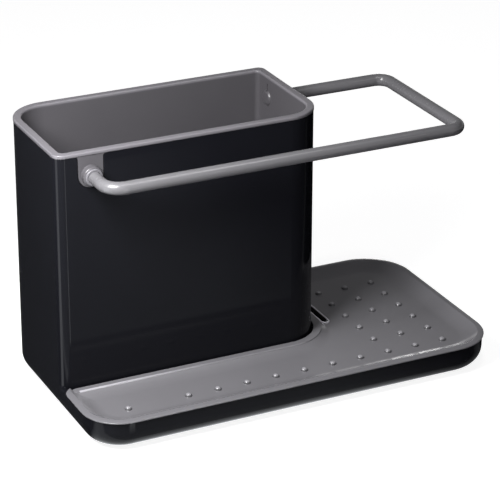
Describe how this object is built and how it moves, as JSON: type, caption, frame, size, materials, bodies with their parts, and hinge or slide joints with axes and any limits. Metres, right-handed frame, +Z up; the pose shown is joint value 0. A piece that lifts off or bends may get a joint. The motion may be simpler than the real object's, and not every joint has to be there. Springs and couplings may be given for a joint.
{
  "type": "kitchen sink caddy",
  "caption": "Sink caddy with a tall removable bin in a black sleeve, a domed drain tray round its front and right, and a bent rail that holds a cloth.",
  "frame": {"origin": "centre of the footprint, on the surface that the pads stand on", "axes": "+X along the front from the bin to the open end of the tray, +Y from the front to the back, +Z up"},
  "size_m": [0.2064, 0.1122, 0.128],
  "materials": {
    "shell_black": "smooth gloss moulding",
    "bin_grey": "satin moulding with a fine grain",
    "tray_grey": "satin moulding with a fine grain",
    "rail_grey": "satin coat on round rod",
    "bush_grey": "satin moulding",
    "pad_rubber": "soft matt rubber"
  },
  "bodies": {
    "base": {"outer_shell": "shell_black", "foot_pad_front_left": "pad_rubber", "foot_pad_front_right": "pad_rubber", "foot_pad_back_left": "pad_rubber", "foot_pad_back_right": "pad_rubber"},
    "bin": {"inner_bin": "bin_grey", "towel_rail": "rail_grey", "front_rail_bush": "bush_grey", "rear_rail_bush": "bush_grey"},
    "tray": {"drain_tray": "tray_grey"}
  },
  "joints": [
    {"name": "bin_lift", "type": "slide", "parent": "base", "child": "bin", "axis": [0, 0, 1], "range_m": [0, 0.13]},
    {"name": "tray_lift", "type": "slide", "parent": "base", "child": "tray", "axis": [0, 0, 1], "range_m": [0, 0.04]}
  ]
}
